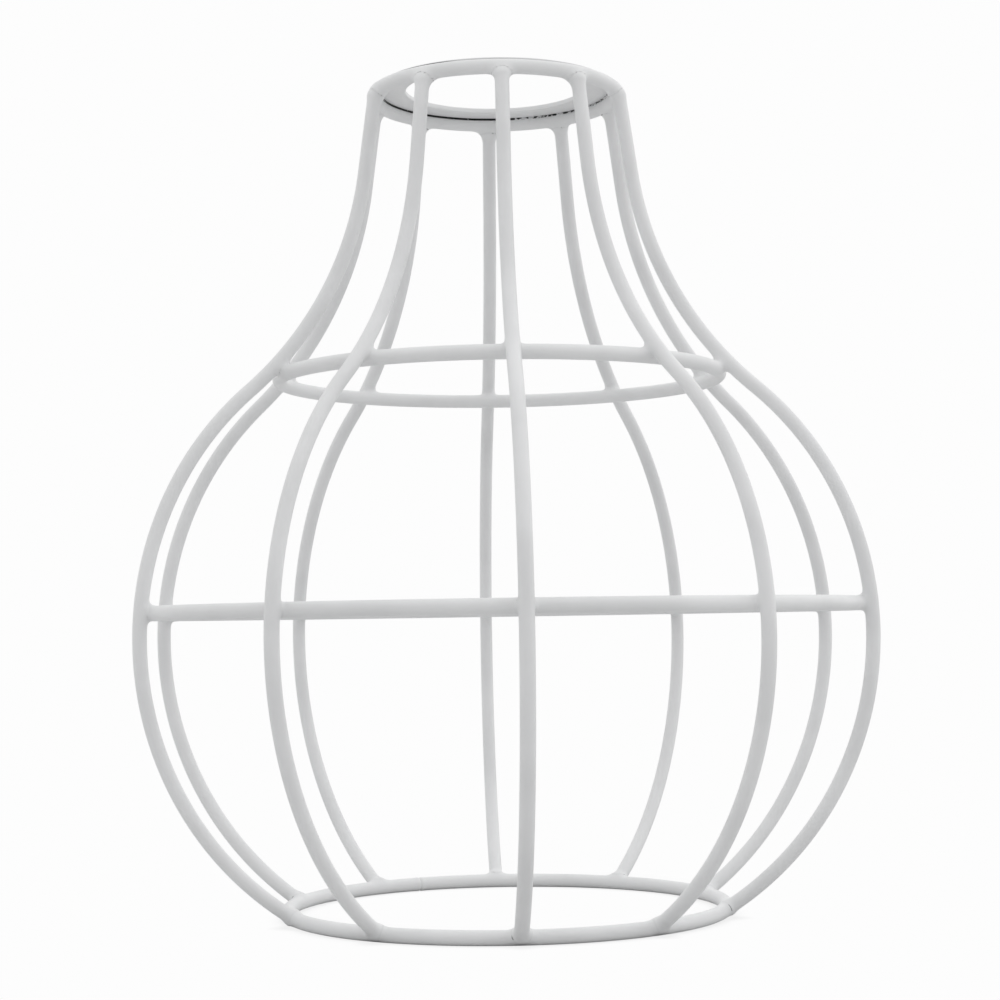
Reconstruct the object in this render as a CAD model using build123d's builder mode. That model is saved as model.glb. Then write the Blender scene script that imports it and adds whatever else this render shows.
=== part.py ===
from build123d import *
from math import cos, radians, sin, sqrt
import os

# Wire cage lampshade: ten bent wire ribs welded round four wire rings, with a flat gallery
# plate in the top ring that a lamp holder clamps. Powder coated, so all sizes include the
# coat. Millimetres. The origin is under the middle of the bottom ring, on the surface that
# the cage stands on, and +Z is the axis, up towards the lamp holder.

# Driving dimensions
rib_count = 10
rib_wire = 3.2            # diameter of the ribs' wire
ring_wire = 3.3           # diameter of the rings' wire
weld_sink = 0.15          # how far two crossing wires are pressed into each other

top_ring_height = 190.6   # of the wire's centreline, like every ring size here
neck_ring_height = 123.9
belly_ring_height = 70.2
bottom_ring_radius = 50.3

belly_radius = 85.1       # of a rib's centreline where the cage is widest
belly_height = 64.3
belly_bend = 73.5         # inner form that the rib's belly is bent round, to the centreline
rib_stand_off = 1.1       # rib centreline outside the top ring's, where the rib ends
rib_lean = 8.0            # degrees that a rib's top end leans in from upright
rib_straight = 20.0       # straight run of the rib below the top ring

holder_hole = 42.0        # diameter, for a standard lamp holder
plate_width = 6.4         # from the hole to the rim
plate_thickness = 1.2
plate_edge = 0.3          # rounding of the rim's upper edge
plate_inset = 1.0         # rim inside the top ring's centreline
plate_sink = 0.1          # how far the plate is pressed into the top ring

# The top ring goes round the plate, which goes round the holder
plate_radius = holder_hole / 2 + plate_width
top_ring_radius = plate_radius + plate_inset

# A rib's centreline, drawn in the plane through the axis and +X, from the top end down
bottom_ring_height = ring_wire / 2
lean_across = sin(radians(rib_lean))
lean_along = cos(radians(rib_lean))
rib_top = Vector(top_ring_radius + rib_stand_off, 0, top_ring_height)
neck_start = rib_top + Vector(lean_across, 0, -lean_along) * rib_straight
neck_outward = Vector(lean_along, 0, lean_across)
belly_widest = Vector(belly_radius, 0, belly_height)
belly_centre = belly_widest - Vector(belly_bend, 0, 0)
rib_foot = Vector(bottom_ring_radius, 0, bottom_ring_height)

# The neck bend is the one radius that leaves the straight run and meets the belly bend
# without a kink, with its centre outside the cage
neck_from_belly = neck_start - belly_centre
neck_bend = (neck_from_belly.length**2 - belly_bend**2) / (
    2 * (belly_bend - neck_from_belly.dot(neck_outward))
)
neck_centre = neck_start + neck_outward * neck_bend
belly_to_neck = (neck_centre - belly_centre).normalized()
neck_meets_belly = belly_centre + belly_to_neck * belly_bend

# The lower bend leaves the widest point upright and ends on the bottom ring
foot_across = belly_widest.X - rib_foot.X
foot_down = belly_widest.Z - rib_foot.Z
lower_bend = (foot_across**2 + foot_down**2) / (2 * foot_across)
lower_centre = belly_widest - Vector(lower_bend, 0, 0)

# A ring inside the ribs has its centreline this far in from theirs
ring_seat = (rib_wire + ring_wire) / 2 - weld_sink


def arc_radius(centre, bend, height):
    """Distance from the axis, at a height, of an arc that bulges away from the axis."""
    return centre.X + sqrt(bend**2 - (height - centre.Z) ** 2)


def seated_ring_radius(height):
    """Radius of the ring that touches the inside of every rib at a height."""
    seat_at_straight = neck_start - neck_outward * ring_seat
    seat_at_belly = neck_meets_belly - belly_to_neck * ring_seat
    if height > seat_at_straight.Z:
        return seat_at_straight.X - (height - seat_at_straight.Z) * lean_across / lean_along
    if height > seat_at_belly.Z:
        outer_arc = neck_bend + ring_seat
        return neck_centre.X - sqrt(outer_arc**2 - (neck_centre.Z - height) ** 2)
    if height > belly_height:
        return arc_radius(belly_centre, belly_bend - ring_seat, height)
    return arc_radius(lower_centre, lower_bend - ring_seat, height)


ring_places = {
    "top_ring": (top_ring_radius, top_ring_height),
    "neck_ring": (seated_ring_radius(neck_ring_height), neck_ring_height),
    "belly_ring": (seated_ring_radius(belly_ring_height), belly_ring_height),
    "bottom_ring": (bottom_ring_radius, bottom_ring_height),
}

os.makedirs("parts", exist_ok=True)

# The four rings: wire bent round and butt welded
rings = {}
for ring_name, (ring_radius, ring_height) in ring_places.items():
    with BuildPart() as ring:
        with BuildSketch(Plane.XZ):
            with Locations((ring_radius, ring_height)):
                Circle(ring_wire / 2)
        revolve(axis=Axis.Z)
    ring.part.label = ring_name
    export_step(ring.part, f"parts/{ring_name}.step")
    rings[ring_name] = ring.part

# One rib on the +X side: straight end, neck bend, belly bend, lower bend. Each ring leaves
# its own hollow in the wire, so the rib's ends fit over the top and the bottom ring like a
# saddle and the two rings between lie in shallow weld seats
with BuildPart() as rib:
    with BuildLine(Plane.XZ) as rib_path:
        Line(rib_top, neck_start)
        RadiusArc(neck_start, neck_meets_belly, -neck_bend)
        RadiusArc(neck_meets_belly, belly_widest, belly_bend)
        RadiusArc(belly_widest, rib_foot, lower_bend)
    with BuildSketch(Plane(origin=rib_path.line @ 0, z_dir=rib_path.line % 0)):
        Circle(rib_wire / 2)
    sweep()
    add(rings.values(), mode=Mode.SUBTRACT)

# The ribs stand evenly round the rings, the first one to the front
for rib_number in range(rib_count):
    rib_name = f"rib_{rib_number + 1:02d}"
    with BuildPart() as placed_rib:
        add(rib.part, rotation=(0, 0, -90 + rib_number * 360 / rib_count))
    placed_rib.part.label = rib_name
    export_step(placed_rib.part, f"parts/{rib_name}.step")

# Gallery plate: a flat washer that rests on the top ring's inner shoulder
plate_height = top_ring_height + sqrt((ring_wire / 2) ** 2 - plate_inset**2) - plate_sink
with BuildPart() as gallery_plate:
    with BuildSketch(Plane.XY.offset(plate_height)):
        Circle(plate_radius)
        Circle(holder_hole / 2, mode=Mode.SUBTRACT)
    extrude(amount=plate_thickness)
    rim_edges = gallery_plate.edges().filter_by(GeomType.CIRCLE).group_by(SortBy.RADIUS)[-1]
    fillet(rim_edges.sort_by(Axis.Z)[-1], plate_edge)
    add(rings["top_ring"], mode=Mode.SUBTRACT)
gallery_plate.part.label = "gallery_plate"
export_step(gallery_plate.part, "parts/gallery_plate.step")

print("neck bend", round(neck_bend, 2), "lower bend", round(lower_bend, 2))
for ring_name, (ring_radius, ring_height) in ring_places.items():
    print(ring_name, "centreline radius", round(ring_radius, 2), "height", round(ring_height, 2))
print("height over all", round(plate_height + plate_thickness, 2))
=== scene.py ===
# %% [markdown]
# # A white wire cage lampshade
#
# The shade is bent and welded from round wire and then powder coated. On a bench it would come
# apart into ten ribs, four rings and one flat plate. This lesson dresses those pieces: it gives
# them the thick, slightly soft look of paint that has run into every weld.
#
# The first cell loads the solid model. Its pieces are the frame that everything here must fit,
# and they aren't moved or reshaped.

# %% Load the solid model
from math import acos, atan2, cos, degrees, pi, radians, sin, sqrt

import bpy
import numpy as np
from mathutils import Matrix, Vector


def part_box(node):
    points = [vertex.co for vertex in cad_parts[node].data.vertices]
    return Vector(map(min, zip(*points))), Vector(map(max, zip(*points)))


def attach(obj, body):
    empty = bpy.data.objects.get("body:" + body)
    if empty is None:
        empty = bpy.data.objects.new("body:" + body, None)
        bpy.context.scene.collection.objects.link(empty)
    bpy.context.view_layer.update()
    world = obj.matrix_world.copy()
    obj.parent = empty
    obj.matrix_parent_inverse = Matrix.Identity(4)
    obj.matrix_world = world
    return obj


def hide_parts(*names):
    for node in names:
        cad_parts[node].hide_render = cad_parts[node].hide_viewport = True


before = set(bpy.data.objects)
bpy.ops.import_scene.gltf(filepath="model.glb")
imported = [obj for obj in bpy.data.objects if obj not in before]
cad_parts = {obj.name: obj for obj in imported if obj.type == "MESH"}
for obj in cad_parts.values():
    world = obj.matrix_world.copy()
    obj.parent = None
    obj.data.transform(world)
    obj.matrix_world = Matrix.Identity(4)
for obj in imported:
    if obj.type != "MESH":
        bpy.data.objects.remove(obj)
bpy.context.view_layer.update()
mm = 0.001
print("pieces in the solid model:", len(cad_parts))

# %% [markdown]
# ## Where the rings are
#
# A ring is a wire bent round, so three numbers say all about it: the radius of the wire's
# centreline, the height of that line and the wire's own thickness. All three can be read from
# the box round each ring, and that's better than typing them again, because the paintwork then
# follows the solid model by itself.

# %% Measure the rings


def measure_ring(name):
    """Centreline radius, height and wire radius of a ring of the solid model."""
    low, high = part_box(name)
    wire = (high.z - low.z) / 2
    return high.x - wire, (high.z + low.z) / 2, wire


RING_NAMES = ["top_ring", "neck_ring", "belly_ring", "bottom_ring"]
rings = {name: measure_ring(name) for name in RING_NAMES}
for name, (radius, height, wire) in rings.items():
    print(name, "radius", round(radius / mm, 2), "height", round(height / mm, 2))

# %% [markdown]
# ## The line of a rib
#
# Each rib is one wire with a short straight top and three bends. Bent wire is made of arcs, so
# its line is kept as arcs too, each with a centre, a radius and two end angles. That is more
# exact than a row of points, and the distance from any point to an arc is one short formula,
# which the paint needs later.
#
# The line is drawn in two numbers: the distance out from the axis, and the height. Radii and
# heights come from the frame wherever its boxes give them. A sawn end doesn't quite reach the
# middle of its ring: the weld bead bridges a small gap there.

# %% Lay out the rib's line
rib_low, rib_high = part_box("rib_01")
rib_wire = (rib_high.x - rib_low.x) / 2
top_radius, top_height, ring_wire = rings["top_ring"]
foot_radius, foot_height, _ = rings["bottom_ring"]
belly_radius = -rib_low.y - rib_wire
BELLY_HEIGHT = 64.3 * mm
BELLY_BEND = 73.5 * mm
STAND_OFF = 1.1 * mm
TOP_LEAN = radians(8)
TOP_STRAIGHT = 20 * mm
TOP_GAP = 1.0 * mm
FOOT_GAP = 0.5 * mm

down_the_top = np.array([sin(TOP_LEAN), -cos(TOP_LEAN)])
rib_top = np.array([top_radius + STAND_OFF, top_height]) + down_the_top * TOP_GAP
straight = TOP_STRAIGHT - TOP_GAP
neck_start = rib_top + down_the_top * straight
neck_outward = np.array([cos(TOP_LEAN), sin(TOP_LEAN)])
belly_centre = np.array([belly_radius - BELLY_BEND, BELLY_HEIGHT])
from_belly = neck_start - belly_centre
neck_bend = (from_belly @ from_belly - BELLY_BEND**2) / (2 * (BELLY_BEND - from_belly @ neck_outward))
neck_centre = neck_start + neck_outward * neck_bend
to_neck = (neck_centre - belly_centre) / np.linalg.norm(neck_centre - belly_centre)
foot_across = belly_radius - foot_radius
foot_down = BELLY_HEIGHT - foot_height
lower_bend = (foot_across**2 + foot_down**2) / (2 * foot_across)
lower_centre = np.array([belly_radius - lower_bend, BELLY_HEIGHT])
foot_angle = -acos((foot_radius - lower_centre[0]) / lower_bend)

# Each arc: centre, radius, angle where the rib comes in from above, angle where it goes on
neck_turn = atan2(to_neck[1], to_neck[0])
RIB_ARCS = [
    (neck_centre, neck_bend, pi + TOP_LEAN, pi + neck_turn),
    (belly_centre, BELLY_BEND, neck_turn, 0.0),
    (lower_centre, lower_bend, 0.0, foot_angle + FOOT_GAP / lower_bend),
]
arc_lengths = [radius * abs(end - start) for _, radius, start, end in RIB_ARCS]
rib_length = straight + sum(arc_lengths)
print("neck bend", round(neck_bend / mm, 1), "rib length", round(rib_length / mm, 1))


def rib_points(along):
    """Points and directions on the rib's line at these lengths from its top end."""
    point = rib_top + np.outer(along, down_the_top)
    heading = np.tile(down_the_top, (len(along), 1))
    begun = straight
    for (centre, radius, start, end), length in zip(RIB_ARCS, arc_lengths):
        here = along > begun
        angle = start + (end - start) * (along[here] - begun) / length
        spoke = np.column_stack([np.cos(angle), np.sin(angle)])
        point[here] = centre + radius * spoke
        turn = np.sign(end - start)
        heading[here] = turn * np.column_stack([-spoke[:, 1], spoke[:, 0]])
        begun += length
    return point, heading


# %% [markdown]
# ## How far is a point from the metal?
#
# The paint has to know where two wires come close. The tool for that is a distance field: a
# formula that gives the distance from any point to a wire's surface, negative inside. A ring's
# is a torus. A rib's is the nearest of its straight and its arcs, cut off square at both ends,
# with those sawn ends rounded, as the weld and the paint leave them.

# %% Distance to a ring and to a rib
END_ROUNDING = 1.3 * mm
END_ALLOWANCE = 0.1


def ring_distance(points, name):
    """Distance from points to the surface of a ring."""
    radius, height, wire = rings[name]
    across = np.hypot(points[:, 0], points[:, 1]) - radius
    return np.hypot(across, points[:, 2] - height) - wire


foot_point, foot_heading = (row[0] for row in rib_points(np.array([rib_length])))


def rib_distance(points):
    """Distance from points to the surface of the rib that stands on the +X side."""
    flat = points[:, [0, 2]]
    from_top = flat - rib_top
    run = np.clip(from_top @ down_the_top, None, straight)
    nearest = np.linalg.norm(from_top - np.outer(run, down_the_top), axis=1)
    for centre, radius, start, end in RIB_ARCS:
        spoke = flat - centre
        low, high = sorted((start, end))
        low = low - END_ALLOWANCE if centre is lower_centre else low
        middle = (low + high) / 2
        angle = np.arctan2(spoke[:, 1], spoke[:, 0]) - middle
        angle = middle + (angle + pi) % (2 * pi) - pi
        angle = np.clip(angle, low, high)
        foot = centre + radius * np.column_stack([np.cos(angle), np.sin(angle)])
        nearest = np.minimum(nearest, np.linalg.norm(flat - foot, axis=1))
    side = np.hypot(nearest, points[:, 1]) - rib_wire + END_ROUNDING
    past_foot = (flat - foot_point) @ foot_heading
    past_end = np.maximum(-(from_top @ down_the_top), past_foot) + END_ROUNDING
    corner = np.hypot(np.maximum(side, 0), np.maximum(past_end, 0))
    return corner + np.minimum(np.maximum(side, past_end), 0) - END_ROUNDING


probe = np.array([[belly_radius + rib_wire, 0, BELLY_HEIGHT]])
print("rib surface is off by", round(float(rib_distance(probe)[0]) / mm, 5), "mm")

# %% [markdown]
# ## Paint that fills the corners
#
# Powder melts in the oven and pulls into every sharp inner corner, so two wires never meet in a
# crisp line: there is a small smooth web between them. A bevel can't make that on crossing
# tubes. A smooth minimum can: it joins two distance fields and rounds the corner between them
# by a chosen amount. Each wire's own skin is then moved out to the joined surface.
#
# Each wire only keeps its own half of the web and a narrow strip past the middle, tucked a
# hair under its neighbour's half. Deeper inside the other wire its skin stays where it was, so
# no two skins lie on top of each other. No web hangs under the surface that the shade stands on.
#
# The slope of the joined field is also the exact direction that the paint faces. Both wires use
# it for their shading, and so the line where their halves meet doesn't show.

# %% Join two distance fields and move a skin onto them
KEPT_OVERLAP = 0.3 * mm
HIDE_DEPTH = 0.6 * mm
TUCK_UNDER = 0.012 * mm
TUCK_RUN = 0.3 * mm
STAND_HEIGHT = 1.3 * mm


def ease(share):
    """A share held between 0 and 1, with soft ends."""
    share = np.clip(share, 0, 1)
    return share * share * (3 - 2 * share)


def smooth_minimum(first, second, web):
    """The lesser of two distances, with the corner between them rounded."""
    overlap = np.maximum(web - np.abs(first - second), 0) / web
    return np.minimum(first, second) - overlap**2 * web / 4


def paint_skin(points, own, others, web):
    """Move a wire's skin onto the paint surface it shares with the wires it touches.

    The web is a size for each point, and it is the same on both wires of a weld.

    Returns the moved points, how much painted shade each gets where two wires cross, from 0 to 1,
    and the direction that the paint faces, which is left at zero away from the welds.
    """
    moved = points.copy()
    facing = np.zeros_like(points)
    other = others(points)
    web = np.broadcast_to(web, len(points))
    near = np.flatnonzero(other < web)
    near_web = web[near]
    step = 0.01 * mm
    work = points[near]

    def field(at):
        return smooth_minimum(own(at), others(at), near_web)

    def field_slope(at):
        rise = [field(at + step * axis) - field(at - step * axis) for axis in np.eye(3)]
        return np.column_stack(rise) / (2 * step)

    for _ in range(4):
        slope = field_slope(work)
        size = np.maximum((slope**2).sum(axis=1), 0.2)
        work = work - slope * (field(work) / size)[:, None]
    slope = field_slope(work)
    facing[near] = slope / np.linalg.norm(slope, axis=1)[:, None]
    inside = -other[near]
    tuck = TUCK_UNDER * ease(inside / TUCK_RUN)
    work = work - facing[near] * tuck[:, None]
    show = 1 - ease((inside - KEPT_OVERLAP) / (HIDE_DEPTH - KEPT_OVERLAP))
    stands = ease(points[near, 2] / STAND_HEIGHT)
    moved[near] += (work - points[near]) * (show * stands)[:, None]
    facing[near[stands < 1]] = 0
    # Painted shade for the corners: 1 in the middle of a crossing, fading to 0 at the web's edge.
    corner_shade = np.zeros(len(points))
    corner_shade[near] = np.clip(1 - np.abs(other[near]) / near_web, 0, 1) ** 2
    return moved, corner_shade, facing


# %% [markdown]
# ## A tube from sections
#
# Blender can bevel a curve into a tube, but its sections are then all alike and evenly spread.
# Here they have to crowd together at the welds, where the paint web needs fine steps, and
# spread out between them. So the tube is written directly: a list of stations, a round section
# at each and four-sided faces between neighbours.

# %% Space the stations and build the tube
AROUND = 36
FINE_STEP = 0.26 * mm
COARSE_STEP = 1.1 * mm
WELD_REACH = 3.4 * mm


def stations(length, welds, closed=False):
    """Lengths along a wire, close together near its welds."""
    fine = np.linspace(0, length, 6000)
    near = np.abs(fine[:, None] - np.asarray(welds)[None, :])
    if closed:
        near = np.minimum(near, length - near)
    crowd = np.exp(-((near.min(axis=1) / WELD_REACH) ** 4))
    density = 1 / COARSE_STEP + (1 / FINE_STEP - 1 / COARSE_STEP) * crowd
    steps = np.concatenate([[0], np.cumsum((density[1:] + density[:-1]) / 2 * np.diff(fine))])
    count = int(round(steps[-1]))
    marks = np.interp(np.linspace(0, steps[-1], count + 1), steps, fine)
    return marks[:-1] if closed else marks


def section_points(centres, out, side, radii):
    """Round sections: one row of points for each station."""
    turn = np.linspace(0, 2 * pi, AROUND, endpoint=False)
    spokes = out[:, None, :] * np.cos(turn)[None, :, None] + side[:, None, :] * np.sin(turn)[None, :, None]
    return centres[:, None, :] + spokes * np.asarray(radii)[:, None, None]


def tube_faces(rows, closed):
    """Faces between the sections, with a fan at each end of an open tube."""
    row = np.arange(rows if closed else rows - 1)[:, None]
    spot = np.arange(AROUND)[None, :]
    here = row * AROUND + spot
    beside = row * AROUND + (spot + 1) % AROUND
    below = ((row + 1) % rows) * AROUND
    quads = np.stack([here, below + spot, below + (spot + 1) % AROUND, beside], axis=-1)
    faces = quads.reshape(-1, 4).tolist()
    if not closed:
        first, last = rows * AROUND, rows * AROUND + 1
        end = (rows - 1) * AROUND
        faces += [[first, k, (k + 1) % AROUND] for k in range(AROUND)]
        faces += [[last, end + (k + 1) % AROUND, end + k] for k in range(AROUND)]
    return faces


def make_piece(name, points, faces, corner_shade, facing, material):
    """A smooth mesh object with its painted weld shade and its paint's direction stored on its points."""
    mesh = bpy.data.meshes.new(name)
    mesh.from_pydata(points.tolist(), [], faces)
    depth = mesh.attributes.new("painted_weld_shade", "FLOAT", "POINT")
    depth.data.foreach_set("value", corner_shade.astype(np.float32))
    mesh.polygons.foreach_set("use_smooth", [True] * len(faces))
    mesh.materials.append(material)
    mesh.update()
    smooth = np.empty(len(points) * 3, dtype=np.float32)
    mesh.vertex_normals.foreach_get("vector", smooth)
    known = np.any(facing != 0, axis=1)[:, None]
    mesh.normals_split_custom_set_from_vertices(np.where(known, facing, smooth.reshape(-1, 3)).tolist())
    piece = bpy.data.objects.new(name, mesh)
    bpy.context.scene.collection.objects.link(piece)
    return piece


# %% [markdown]
# ## White powder coat
#
# The finish is a satin white powder coat: no metal shows through it, its gloss is soft, and its
# surface has the very fine, shallow dimples that makers call orange peel. It could be one flat
# white, but then the wires would look like plastic tubes from a drawing. So three slow noises
# work together here: one drifts the white a little, one drifts the roughness, and one small and
# shallow one is the dimples.
#
# Where two wires cross, the white is painted a shade darker, with a few near-black spots, as
# painted shade for the corner and its crevice. The share that was stored on the points tells the
# material where that is.

# %% Node helpers


def add_node(tree, kind, inputs=None, **settings):
    """A node with its settings and unlinked inputs filled in."""
    node = tree.nodes.new(kind)
    for key, value in settings.items():
        setattr(node, key, value)
    for key, value in (inputs or {}).items():
        node.inputs[key].default_value = value
    return node


def map_value(tree, source, low, high, out_low, out_high):
    """A value moved smoothly from one range to another."""
    node = add_node(tree, "ShaderNodeMapRange", interpolation_type="SMOOTHSTEP")
    for key, value in {"From Min": low, "From Max": high, "To Min": out_low, "To Max": out_high}.items():
        node.inputs[key].default_value = value
    tree.links.new(source, node.inputs["Value"])
    return node.outputs["Result"]


def combine(tree, operation, first, second):
    """Two values put through one sum. Either may be a plain number."""
    node = add_node(tree, "ShaderNodeMath", operation=operation)
    for socket, value in zip(node.inputs, (first, second)):
        if isinstance(value, (int, float)):
            socket.default_value = value
        else:
            tree.links.new(value, socket)
    return node.outputs["Value"]


def mix_colour(tree, share, first, second):
    """Two colours mixed by a share. Either may be a plain colour."""
    node = add_node(tree, "ShaderNodeMix", data_type="RGBA")
    tree.links.new(share, node.inputs["Factor"])
    for socket, value in ((node.inputs["A"], first), (node.inputs["B"], second)):
        if isinstance(value, tuple):
            socket.default_value = value
        else:
            tree.links.new(value, socket)
    return node.outputs["Result"]


# %% Make the coat
PAINT_WHITE = (0.80, 0.805, 0.81, 1)
PAINT_SHADE = (0.74, 0.745, 0.75, 1)
# Painted shade colours: the weld corners, the spots in their crevices and the crevice line at the plate.
PAINTED_WELD_SHADE = (0.71, 0.715, 0.72, 1)
PAINTED_CREVICE_SPOT = (0.20, 0.20, 0.20, 1)
PAINTED_CREVICE_SHADE = (0.012, 0.012, 0.013, 1)


def powder_coat(name, seam=None):
    """Satin white powder coat. A seam gives a dark line of painted shade in a crevice."""
    material = bpy.data.materials.new(name)
    material.use_nodes = True
    tree = material.node_tree
    tree.nodes.clear()
    place = add_node(tree, "ShaderNodeTexCoord").outputs["Object"]

    def noise(scale, detail):
        node = add_node(tree, "ShaderNodeTexNoise", {"Scale": scale, "Detail": detail})
        tree.links.new(place, node.inputs["Vector"])
        return node.outputs["Fac"]

    drift = map_value(tree, noise(45, 3), 0.35, 0.7, 0, 1)
    colour = mix_colour(tree, drift, PAINT_WHITE, PAINT_SHADE)
    # Painted shade: the white is darker where two wires cross.
    weld_shade = add_node(tree, "ShaderNodeAttribute", attribute_name="painted_weld_shade").outputs["Fac"]
    colour = mix_colour(tree, map_value(tree, weld_shade, 0.55, 1.0, 0, 0.8), colour, PAINTED_WELD_SHADE)
    # Near-black spots deep in a crossing: painted shade of the crevice there.
    spots = map_value(tree, noise(420, 1), 0.56, 0.64, 0, 1)
    in_corner = map_value(tree, weld_shade, 0.72, 0.95, 0, 1)
    colour = mix_colour(tree, combine(tree, "MULTIPLY", spots, in_corner), colour, PAINTED_CREVICE_SPOT)
    # Painted shade: a near-black line in a crevice, where the seam mask says.
    if seam is not None:
        colour = mix_colour(tree, seam(tree, place), colour, PAINTED_CREVICE_SHADE)

    shader = add_node(tree, "ShaderNodeBsdfPrincipled", {"Specular IOR Level": 0.45})
    roughness = map_value(tree, noise(120, 2), 0.3, 0.7, 0.36, 0.50)
    peel = combine(tree, "ADD", noise(650, 0), combine(tree, "MULTIPLY", noise(260, 0), 0.8))
    bump = add_node(tree, "ShaderNodeBump", {"Strength": 0.16, "Distance": 0.00012})
    tree.links.new(peel, bump.inputs["Height"])
    tree.links.new(colour, shader.inputs["Base Color"])
    tree.links.new(roughness, shader.inputs["Roughness"])
    tree.links.new(bump.outputs["Normal"], shader.inputs["Normal"])
    output = add_node(tree, "ShaderNodeOutputMaterial")
    tree.links.new(shader.outputs["BSDF"], output.inputs["Surface"])
    return material


wire_coat = powder_coat("white_powder_coat")
print("coat nodes:", len(wire_coat.node_tree.nodes))

# %% [markdown]
# ## The ten ribs
#
# The ribs are one shape turned to ten places, but their paint isn't: the web at each weld is a
# little bigger or smaller, as the weld under it was. It is widest at the top and the bottom,
# where a rib ends on its ring and the bead goes all round it. Each rib is built in its own plane
# on the +X side, where the sums are short, and then turned.

# %% Build the ribs
RIB_COUNT = 10
TYPICAL_WEBS = {"top_ring": 2.9 * mm, "neck_ring": 2.0 * mm, "belly_ring": 1.9 * mm, "bottom_ring": 2.3 * mm}
chance = np.random.default_rng(11)
weld_webs = {name: web * chance.uniform(0.88, 1.15, RIB_COUNT) for name, web in TYPICAL_WEBS.items()}


def nearest_along(height):
    """Length along the rib where it passes a height."""
    along = np.linspace(0, rib_length, 4000)
    return along[np.argmin(np.abs(rib_points(along)[0][:, 1] - height))]


weld_lengths = [nearest_along(rings[name][1]) for name in RING_NAMES]
print("welds along a rib, in mm:", [round(float(weld) / mm, 1) for weld in weld_lengths])


def turned(points, angle):
    """Points turned about the axis."""
    spin = np.array([[cos(angle), sin(angle), 0], [-sin(angle), cos(angle), 0], [0, 0, 1]])
    return points @ spin


def rib_angle(number):
    """Where a rib stands: the first one is at the front, on the -Y side."""
    return -pi / 2 + number * 2 * pi / RIB_COUNT


def all_rings(points):
    """Distance to the nearest ring."""
    return np.minimum.reduce([ring_distance(points, name) for name in RING_NAMES])


def build_rib(number):
    """One rib with its rounded top end and its halves of the paint webs."""
    marks = stations(rib_length, weld_lengths)
    marks = marks[marks > END_ROUNDING]
    curl = np.linspace(0, pi / 2, 6)
    cap = END_ROUNDING * (1 - np.cos(curl))[:-1]
    radii = np.concatenate([
        rib_wire - END_ROUNDING * (1 - np.sin(curl))[:-1],
        np.full(len(marks) + 1, rib_wire),
    ])
    marks = np.concatenate([cap, [END_ROUNDING], marks])
    flat, heading = rib_points(marks)
    centres = np.column_stack([flat[:, 0], np.zeros(len(flat)), flat[:, 1]])
    out = np.column_stack([-heading[:, 1], np.zeros(len(flat)), heading[:, 0]])
    side = np.tile([0.0, 1.0, 0.0], (len(flat), 1))
    points = section_points(centres, out, side, radii).reshape(-1, 3)
    points = np.vstack([points, centres[0], centres[-1]])
    nearest_ring = np.argmin([ring_distance(points, name) for name in RING_NAMES], axis=0)
    web = np.array([weld_webs[name][number] for name in RING_NAMES])[nearest_ring]
    points, corner_shade, facing = paint_skin(points, rib_distance, all_rings, web)
    points = turned(points, rib_angle(number))
    facing = turned(facing, rib_angle(number))
    name = f"rib_{number + 1:02d}"
    faces = tube_faces(len(marks), closed=False)
    piece = make_piece(name + "_coated", points, faces, corner_shade, facing, wire_coat)
    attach(piece, "root")
    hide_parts(name)
    return piece


ribs = [build_rib(number) for number in range(RIB_COUNT)]
print("points in a rib:", len(ribs[0].data.vertices))

# %% [markdown]
# ## The four rings
#
# A ring is a closed tube, welded to itself once. That butt weld was ground flat before coating,
# and under paint it still shows as a fine line round the wire, with the metal a hair thicker
# beside it. The bottom ring's is on the far side, a little to the left. The others are out of
# sight in the photograph, so they are put at the back, behind the front rib. The groove of each line is painted a
# little darker as well, as painted shade.

# %% Build the rings
SEAM_SWELL = 0.07 * mm
SEAM_WIDTH = 1.1 * mm
SEAM_GROOVE = 0.2 * mm
GROOVE_WIDTH = 0.28 * mm
SEAM_ANGLES = {
    "top_ring": radians(83),
    "neck_ring": radians(83),
    "belly_ring": radians(83),
    "bottom_ring": radians(113),
}


def ribs_distance(points):
    """Distance to the nearest rib, by turning each point into the first rib's sector."""
    step = 2 * pi / RIB_COUNT
    angle = np.arctan2(points[:, 1], points[:, 0]) - rib_angle(0)
    folded = (angle + step / 2) % step - step / 2
    reach = np.hypot(points[:, 0], points[:, 1])
    return rib_distance(np.column_stack([reach * np.cos(folded), reach * np.sin(folded), points[:, 2]]))


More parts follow.
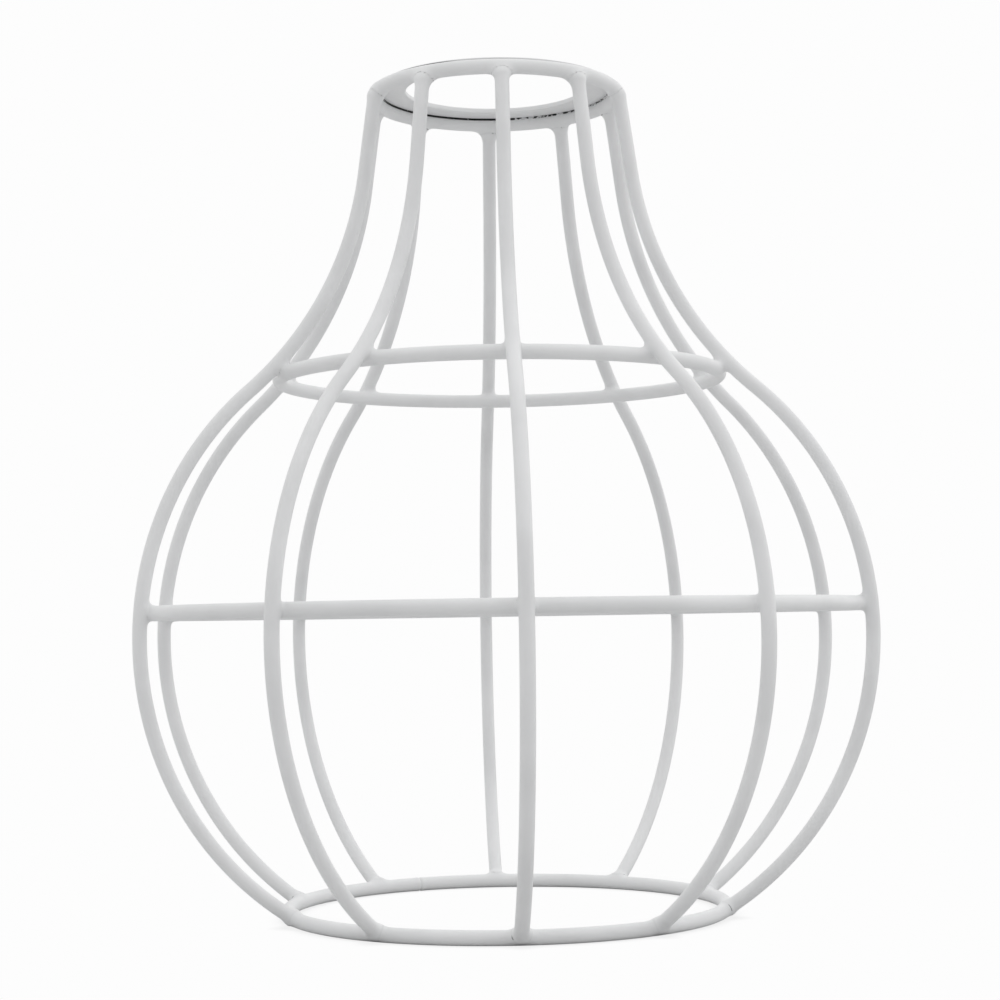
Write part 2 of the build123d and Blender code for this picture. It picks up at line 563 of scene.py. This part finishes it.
def build_ring(name, material):
    """One ring with its butt weld and its halves of the paint webs."""
    radius, height, wire = rings[name]
    length = 2 * pi * radius
    welds = [(rib_angle(number) % (2 * pi)) * radius for number in range(RIB_COUNT)]
    seam = (SEAM_ANGLES[name] % (2 * pi)) * radius
    marks = stations(length, welds + [seam], closed=True)
    beside = np.abs(marks - seam)
    beside = np.minimum(beside, length - beside)
    close = np.linspace(-1, 1, 17) * 4 * GROOVE_WIDTH + seam
    marks = np.sort(np.concatenate([marks[beside > 4.5 * GROOVE_WIDTH], close % length]))
    beside = np.abs(marks - seam)
    beside = np.minimum(beside, length - beside)
    swell = SEAM_SWELL * np.exp(-((beside / SEAM_WIDTH) ** 2))
    groove = SEAM_GROOVE * np.exp(-((beside / GROOVE_WIDTH) ** 2))
    radii = wire + swell - groove
    angle = marks / radius
    out = np.column_stack([np.cos(angle), np.sin(angle), np.zeros(len(angle))])
    up = np.tile([0.0, 0.0, 1.0], (len(angle), 1))
    centres = out * radius + up * height
    points = section_points(centres, out, up, radii).reshape(-1, 3)
    others = ribs_distance if name != "top_ring" else top_neighbours
    nearest_rib = np.round((angle - rib_angle(0)) * RIB_COUNT / (2 * pi)).astype(int) % RIB_COUNT
    web = np.repeat(weld_webs[name][nearest_rib], AROUND)
    points, corner_shade, facing = paint_skin(points, lambda at: ring_distance(at, name), others, web)
    # The seam's groove gets painted shade too, through the same share as the weld corners.
    groove_shade = np.repeat(groove / SEAM_GROOVE, AROUND) * 0.9
    piece = make_piece(
        name + "_coated", points, tube_faces(len(marks), closed=True),
        np.maximum(corner_shade, groove_shade), facing, material,
    )
    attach(piece, "root")
    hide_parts(name)
    return piece


# %% [markdown]
# ## The gallery plate and the painted shade in its crevice
#
# The plate is a flat washer pressed down into the top ring's inner shoulder. Outside, paint
# bridges the step between them. Inside, under the plate, there is a narrow wedge that light
# hardly reaches, and its shadow is painted in as a thin black line with a soft grey edge. It is
# solid on the far left and broken up towards the right, where the paint has bridged it here and
# there. On the outside the same painted shade runs for a short way at the left.

# %% Shape the plate
plate_low, plate_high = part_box("gallery_plate")
plate_rim = plate_high.x
HOLE_RADIUS = 21.0 * mm
PLATE_ROUNDING = 0.3 * mm
PLATE_WEB = 0.8 * mm
PLATE_SPOKES = 360


def plate_distance(points):
    """Distance to the plate: a flat round-edged band turned about the axis."""
    reach = np.hypot(points[:, 0], points[:, 1])
    across = np.abs(reach - (plate_rim + HOLE_RADIUS) / 2) - (plate_rim - HOLE_RADIUS) / 2
    above = np.abs(points[:, 2] - (plate_low.z + plate_high.z) / 2) - (plate_high.z - plate_low.z) / 2
    across, above = across + PLATE_ROUNDING, above + PLATE_ROUNDING
    corner = np.hypot(np.maximum(across, 0), np.maximum(above, 0))
    return corner + np.minimum(np.maximum(across, above), 0) - PLATE_ROUNDING


def bridged(points, distance):
    """A distance that only counts outside the plate's rim, where paint bridges the step."""
    inside = plate_rim - np.hypot(points[:, 0], points[:, 1])
    return distance + np.clip(inside / (0.3 * mm), 0, 1) * PLATE_WEB


def top_neighbours(points):
    """What the top ring's paint runs into: the ribs, and the plate from outside."""
    plate = bridged(points, plate_distance(points)) + TYPICAL_WEBS["top_ring"] - PLATE_WEB
    return np.minimum(ribs_distance(points), plate)


def plate_profile():
    """The plate's cross-section from the hole round to the rim, as radius and height."""
    corners = [
        (plate_rim, plate_high.z, 0.0), (HOLE_RADIUS, plate_high.z, pi / 2),
        (HOLE_RADIUS, plate_low.z, pi), (plate_rim, plate_low.z, 3 * pi / 2),
    ]
    line = []
    for reach, height, start in corners:
        inward = -1 if reach == plate_rim else 1
        downward = -1 if height == plate_high.z else 1
        centre = (reach + inward * PLATE_ROUNDING, height + downward * PLATE_ROUNDING)
        for turn in np.linspace(start, start + pi / 2, 6):
            line.append((centre[0] + PLATE_ROUNDING * cos(turn), centre[1] + PLATE_ROUNDING * sin(turn)))
        if start in (0.0, pi):
            far = HOLE_RADIUS if start == 0.0 else plate_rim
            toward = 1 if start == 0.0 else -1
            flat_start, flat_end = centre[0], far + toward * PLATE_ROUNDING
            for share in np.linspace(0, 1, 14)[1:-1]:
                edge = PLATE_ROUNDING if start == 0.0 else -PLATE_ROUNDING
                line.append((flat_start + (flat_end - flat_start) * share, centre[1] + edge))
    return np.array(line)


def painted_crevice_shade_under_plate(tree, place):
    """How much painted shade there is: a broken dark line where the ring meets the plate's underside, and a short one
    outside at the left.
    """
    parts = add_node(tree, "ShaderNodeSeparateXYZ")
    tree.links.new(place, parts.inputs["Vector"])
    reach = combine(tree, "SQRT", combine(
        tree, "ADD",
        combine(tree, "MULTIPLY", parts.outputs["X"], parts.outputs["X"]),
        combine(tree, "MULTIPLY", parts.outputs["Y"], parts.outputs["Y"]),
    ), 0.0)
    contact = top_radius - sqrt(ring_wire**2 - (plate_low.z - top_height) ** 2)

    def band(value, middle, full, none):
        """1 where a value is within one distance of a middle, 0 beyond another."""
        away = combine(tree, "ABSOLUTE", combine(tree, "SUBTRACT", value, middle), 0.0)
        return map_value(tree, away, full, none, 1, 0)

    breaks = add_node(tree, "ShaderNodeTexNoise", {"Scale": 1300.0, "Detail": 0.0})
    tree.links.new(place, breaks.inputs["Vector"])
    to_right = map_value(tree, parts.outputs["X"], 0.0, 8 * mm, 0.0, 0.27)
    whole = map_value(tree, combine(tree, "SUBTRACT", breaks.outputs["Fac"], to_right), 0.20, 0.26, 0, 1)
    # Painted shade in the wedge under the plate, with a soft edge.
    near_contact = band(reach, contact, 0.28 * mm, 0.62 * mm)
    near_underside = band(parts.outputs["Z"], plate_low.z - 0.05 * mm, 0.30 * mm, 0.56 * mm)
    within = combine(tree, "MULTIPLY", near_contact, near_underside)
    inner_crevice_shade = combine(tree, "MULTIPLY", whole, within)

    # Painted shade outside, along the step at the left.
    near_rim = band(reach, plate_rim + 0.35 * mm, 0.40 * mm, 0.60 * mm)
    near_step = band(parts.outputs["Z"], plate_low.z + 0.55 * mm, 0.35 * mm, 0.55 * mm)
    left = map_value(tree, parts.outputs["X"], -16 * mm, -8 * mm, 0.85, 0.15)
    outer_step_shade = combine(tree, "MULTIPLY", left, combine(tree, "MULTIPLY", near_rim, near_step))
    return combine(tree, "MAXIMUM", inner_crevice_shade, outer_step_shade)


# A second coat with the painted crevice shade, for the top ring and the plate.
coat_with_painted_crevice_shade = powder_coat("white_powder_coat_with_painted_crevice_shade", painted_crevice_shade_under_plate)

# %% Build the plate


def build_plate():
    """The plate as a ring of spokes, each one the same cross-section."""
    profile = plate_profile()
    angle = np.linspace(0, 2 * pi, PLATE_SPOKES, endpoint=False)
    count = len(profile)
    points = np.column_stack([
        np.outer(np.cos(angle), profile[:, 0]).ravel(),
        np.outer(np.sin(angle), profile[:, 0]).ravel(),
        np.tile(profile[:, 1], PLATE_SPOKES),
    ])
    spoke = np.arange(PLATE_SPOKES)[:, None]
    spot = np.arange(count)[None, :]
    here, there = spoke * count, (spoke + 1) % PLATE_SPOKES * count
    following = (spot + 1) % count
    quads = np.stack([here + spot, there + spot, there + following, here + following], axis=-1)

    def ring_outside(at):
        return bridged(at, ring_distance(at, "top_ring"))

    points, corner_shade, facing = paint_skin(points, plate_distance, ring_outside, PLATE_WEB)
    faces = quads.reshape(-1, 4).tolist()
    piece = make_piece("gallery_plate_coated", points, faces, corner_shade * 0.5, facing, coat_with_painted_crevice_shade)
    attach(piece, "root")
    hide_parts("gallery_plate")
    return piece


plate = build_plate()
coated_rings = [build_ring(name, coat_with_painted_crevice_shade if name == "top_ring" else wire_coat) for name in RING_NAMES]
for piece in coated_rings + [plate]:
    print(piece.name, "faces", len(piece.data.polygons))

# %% [markdown]
# ## The floor and the white room
#
# The photograph was taken in a light tent and cut out on white. A tent is light from all sides,
# so the room here is a sky with no lamps' hard edges: brightest above, a little less at the
# sides, and dimmest from the side where the camera stands, which is why the wires are lighter
# at their edges than along their middle. The right side is a little brighter than the left. The
# floor sends back less light than the sky, so the
# undersides of the rings are darker than their tops.
#
# What the camera sees behind the shade is plain white, floor and all, with only a faint shade
# where the bottom ring touches it. So the light paths that come straight from the camera are
# given that white, and all others the tent's light and the floor's pale cloth. From below the
# floor is clear, so that the shade can be looked at from there too.

# %% Floor
FLOOR_RADIUS = 6.0
FLOOR_SIDES = 128
BACKDROP = 0.982
CONTACT_REACH = 4 * mm
CONTACT_LEVEL = 0.86


def build_floor():
    """A wide pale disc under the shade."""
    mesh = bpy.data.meshes.new("pale_floor")
    angle = np.linspace(0, 2 * pi, FLOOR_SIDES, endpoint=False)
    rim = np.column_stack([np.cos(angle), np.sin(angle), np.zeros(FLOOR_SIDES)]) * FLOOR_RADIUS
    mesh.from_pydata(rim.tolist(), [], [list(range(FLOOR_SIDES))])
    floor = bpy.data.objects.new("pale_floor", mesh)
    bpy.context.scene.collection.objects.link(floor)
    material = bpy.data.materials.new("pale_floor")
    material.use_nodes = True
    tree = material.node_tree
    tree.nodes.clear()
    grain = add_node(tree, "ShaderNodeTexNoise", {"Scale": 60.0, "Detail": 4.0})
    bounce = mix_colour(tree, grain.outputs["Fac"], (0.66, 0.66, 0.66, 1), (0.70, 0.70, 0.70, 1))
    cloth = add_node(tree, "ShaderNodeBsdfDiffuse", {"Roughness": 0.6})
    tree.links.new(bounce, cloth.inputs["Color"])
    corner = add_node(tree, "ShaderNodeAmbientOcclusion", {"Distance": CONTACT_REACH}, samples=16)
    white = map_value(tree, corner.outputs["AO"], 0.3, 1.0, CONTACT_LEVEL, BACKDROP)
    paper = add_node(tree, "ShaderNodeEmission")
    tree.links.new(white, paper.inputs["Strength"])
    seen = add_node(tree, "ShaderNodeLightPath").outputs["Is Camera Ray"]
    shader = add_node(tree, "ShaderNodeMixShader")
    tree.links.new(seen, shader.inputs["Fac"])
    tree.links.new(cloth.outputs["BSDF"], shader.inputs[1])
    tree.links.new(paper.outputs["Emission"], shader.inputs[2])
    from_below = add_node(tree, "ShaderNodeNewGeometry").outputs["Backfacing"]
    clear = add_node(tree, "ShaderNodeBsdfTransparent")
    one_sided = add_node(tree, "ShaderNodeMixShader")
    tree.links.new(from_below, one_sided.inputs["Fac"])
    tree.links.new(shader.outputs["Shader"], one_sided.inputs[1])
    tree.links.new(clear.outputs["BSDF"], one_sided.inputs[2])
    output = add_node(tree, "ShaderNodeOutputMaterial")
    tree.links.new(one_sided.outputs["Shader"], output.inputs["Surface"])
    mesh.materials.append(material)
    return floor


floor = build_floor()
print("floor radius in m:", FLOOR_RADIUS)

# %% Light from all round
SKY_TOP = 1.12
SKY_SIDE = 0.98
SKY_FRONT = 0.50
SKY_LEFT = 0.86
SKY_RIGHT = 1.12


def build_sky():
    """The tent: its brightness depends only on the direction in the room."""
    world = bpy.data.worlds.new("light_tent")
    world.use_nodes = True
    tree = world.node_tree
    tree.nodes.clear()
    way = add_node(tree, "ShaderNodeTexCoord").outputs["Generated"]
    parts = add_node(tree, "ShaderNodeSeparateXYZ")
    tree.links.new(way, parts.inputs["Vector"])
    front = map_value(tree, parts.outputs["Y"], -1.0, -0.15, SKY_FRONT, SKY_SIDE)
    top = map_value(tree, parts.outputs["Z"], 0.15, 0.85, 0, 1)
    level = add_node(tree, "ShaderNodeMix", {"B": SKY_TOP}, data_type="FLOAT")
    tree.links.new(top, level.inputs["Factor"])
    tree.links.new(front, level.inputs["A"])
    seen = add_node(tree, "ShaderNodeLightPath").outputs["Is Camera Ray"]
    strength = add_node(tree, "ShaderNodeMix", {"B": BACKDROP}, data_type="FLOAT")
    tree.links.new(seen, strength.inputs["Factor"])
    across = map_value(tree, parts.outputs["X"], -0.9, 0.9, SKY_LEFT, SKY_RIGHT)
    tree.links.new(combine(tree, "MULTIPLY", level.outputs["Result"], across), strength.inputs["A"])
    sky = add_node(tree, "ShaderNodeBackground", {"Color": (1, 1, 1, 1)})
    tree.links.new(strength.outputs["Result"], sky.inputs["Strength"])
    output = add_node(tree, "ShaderNodeOutputWorld")
    tree.links.new(sky.outputs["Background"], output.inputs["Surface"])
    bpy.context.scene.world = world


build_sky()
bpy.context.scene.view_settings.view_transform = "Standard"

# %% [markdown]
# ## The camera
#
# The camera stands level with the belly ring, so that ring is seen edge on, the top ring from
# below and the bottom ring from above. Its place and lens were worked out from points measured
# along the wires in the photograph, which is the surest way to get the same drawing: guessing
# by eye mixes up a long lens with a distant camera.

# %% Place the camera
CAMERA_TURN = radians(-3.08)
CAMERA_DISTANCE = 504.0 * mm
CAMERA_HEIGHT = 66.94 * mm
CAMERA_ASIDE = -0.28 * mm
CAMERA_PITCH = radians(3.248)
CAMERA_ROLL = radians(0.89)
LENS_PIXELS = 2165
PHOTO_PIXELS = 1000
SENSOR_WIDTH = 36.0


def build_camera():
    """The photograph's camera, from its distance, height, pitch and roll."""
    turn = Matrix.Rotation(CAMERA_TURN, 3, "Z")
    right = turn @ Vector((1, 0, 0))
    forward = turn @ Vector((0, cos(CAMERA_PITCH), sin(CAMERA_PITCH)))
    up = right.cross(forward)
    rolled_right = right * cos(CAMERA_ROLL) - up * sin(CAMERA_ROLL)
    rolled_up = right * sin(CAMERA_ROLL) + up * cos(CAMERA_ROLL)
    data = bpy.data.cameras.new("photo_camera")
    data.sensor_width = SENSOR_WIDTH
    data.lens = LENS_PIXELS / PHOTO_PIXELS * SENSOR_WIDTH
    data.clip_start, data.clip_end = 0.01, 50
    camera = bpy.data.objects.new("photo_camera", data)
    place = turn @ Vector((CAMERA_ASIDE, -CAMERA_DISTANCE, CAMERA_HEIGHT))
    axes = Matrix((rolled_right, rolled_up, -forward)).transposed().to_4x4()
    camera.matrix_world = Matrix.Translation(place) @ axes
    bpy.context.scene.collection.objects.link(camera)
    bpy.context.scene.camera = camera
    return camera


camera = build_camera()
print("lens in mm:", round(camera.data.lens, 1))

# %% Count the triangles and finish
bpy.context.view_layer.update()
triangles = sum(len(polygon.vertices) - 2 for piece in ribs + coated_rings + [plate] for polygon in piece.data.polygons)
print("triangles:", triangles)
